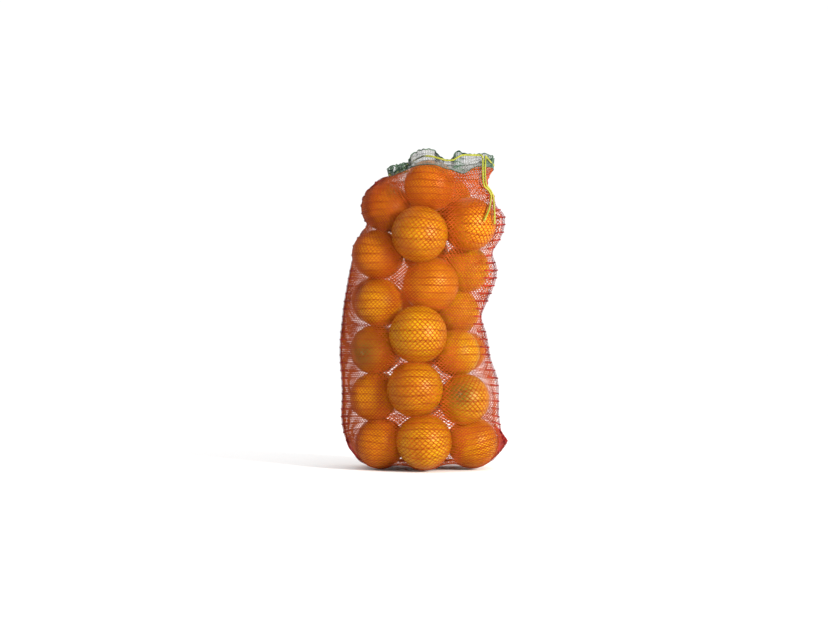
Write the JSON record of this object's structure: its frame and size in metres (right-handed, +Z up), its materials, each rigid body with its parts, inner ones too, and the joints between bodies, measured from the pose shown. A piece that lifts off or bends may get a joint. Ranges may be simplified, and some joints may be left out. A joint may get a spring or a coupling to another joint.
{
  "type": "mesh produce bag",
  "caption": "Net produce sack with side seams and a drawstring hem, standing full of oranges; the mouth folds open and the top fruit lifts out.",
  "frame": {"origin": "centre of the footprint at floor level, under the middle of the filled bag", "axes": "+Z up, +X to the right along the width, -Y towards the front"},
  "size_m": [0.224, 0.1772, 0.421],
  "materials": {
    "net_yarn": "matte",
    "seam_thread": "matte",
    "hem_tape": "matte",
    "string": "satin",
    "orange_peel": "satin"
  },
  "bodies": {
    "bag": {"front_net": "net_yarn", "back_net": "net_yarn", "left_seam": "seam_thread", "right_seam": "seam_thread", "bottom_seam": "seam_thread", "neck_left": "net_yarn", "neck_right": "net_yarn", "hem_left": "hem_tape", "hem_right": "hem_tape", "drawstring_left": "string", "drawstring_right": "string", "fruit_02": "orange_peel", "fruit_03": "orange_peel", "fruit_04": "orange_peel", "fruit_05": "orange_peel", "fruit_06": "orange_peel", "fruit_07": "orange_peel", "fruit_08": "orange_peel", "fruit_09": "orange_peel", "fruit_10": "orange_peel", "fruit_11": "orange_peel", "fruit_12": "orange_peel", "fruit_13": "orange_peel", "fruit_14": "orange_peel", "fruit_15": "orange_peel", "fruit_16": "orange_peel", "fruit_17": "orange_peel", "fruit_18": "orange_peel", "fruit_19": "orange_peel", "fruit_20": "orange_peel", "fruit_21": "orange_peel", "fruit_22": "orange_peel", "fruit_23": "orange_peel", "fruit_24": "orange_peel", "fruit_25": "orange_peel", "fruit_26": "orange_peel", "fruit_27": "orange_peel", "fruit_28": "orange_peel", "fruit_29": "orange_peel", "fruit_30": "orange_peel", "fruit_31": "orange_peel", "fruit_32": "orange_peel", "fruit_33": "orange_peel"},
    "front_lip": {"front_lip_net": "net_yarn", "front_hem": "hem_tape", "drawstring_front": "string"},
    "back_lip": {"back_lip_net": "net_yarn", "back_hem": "hem_tape", "drawstring_back": "string"},
    "top_orange": {"fruit_01": "orange_peel"},
    "tail_a": {"string_tail_a": "string"},
    "tail_b": {"string_tail_b": "string"}
  },
  "joints": [
    {"name": "mouth_front_fold", "type": "hinge", "parent": "bag", "child": "front_lip", "pos_m": [0.018, -0.067, 0.3846], "axis": [1, 0, 0], "range_deg": [0, 35]},
    {"name": "mouth_back_fold", "type": "hinge", "parent": "bag", "child": "back_lip", "pos_m": [0.018, 0.085, 0.3846], "axis": [1, 0, 0], "range_deg": [-35, 0]},
    {"name": "top_orange_lift", "type": "slide", "parent": "bag", "child": "top_orange", "axis": [0, 0, 1], "range_m": [0, 0.15]},
    {"name": "tail_a_swing", "type": "hinge", "parent": "bag", "child": "tail_a", "pos_m": [0.076, -0.058, 0.406], "axis": [-1, 0, 0], "range_deg": [0, 60]},
    {"name": "tail_b_swing", "type": "hinge", "parent": "bag", "child": "tail_b", "pos_m": [0.0805, -0.056, 0.406], "axis": [-1, 0, 0], "range_deg": [0, 60]}
  ],
  "couplings": [
    {"joint": "mouth_back_fold", "follows": "mouth_front_fold", "ratio": -1}
  ]
}
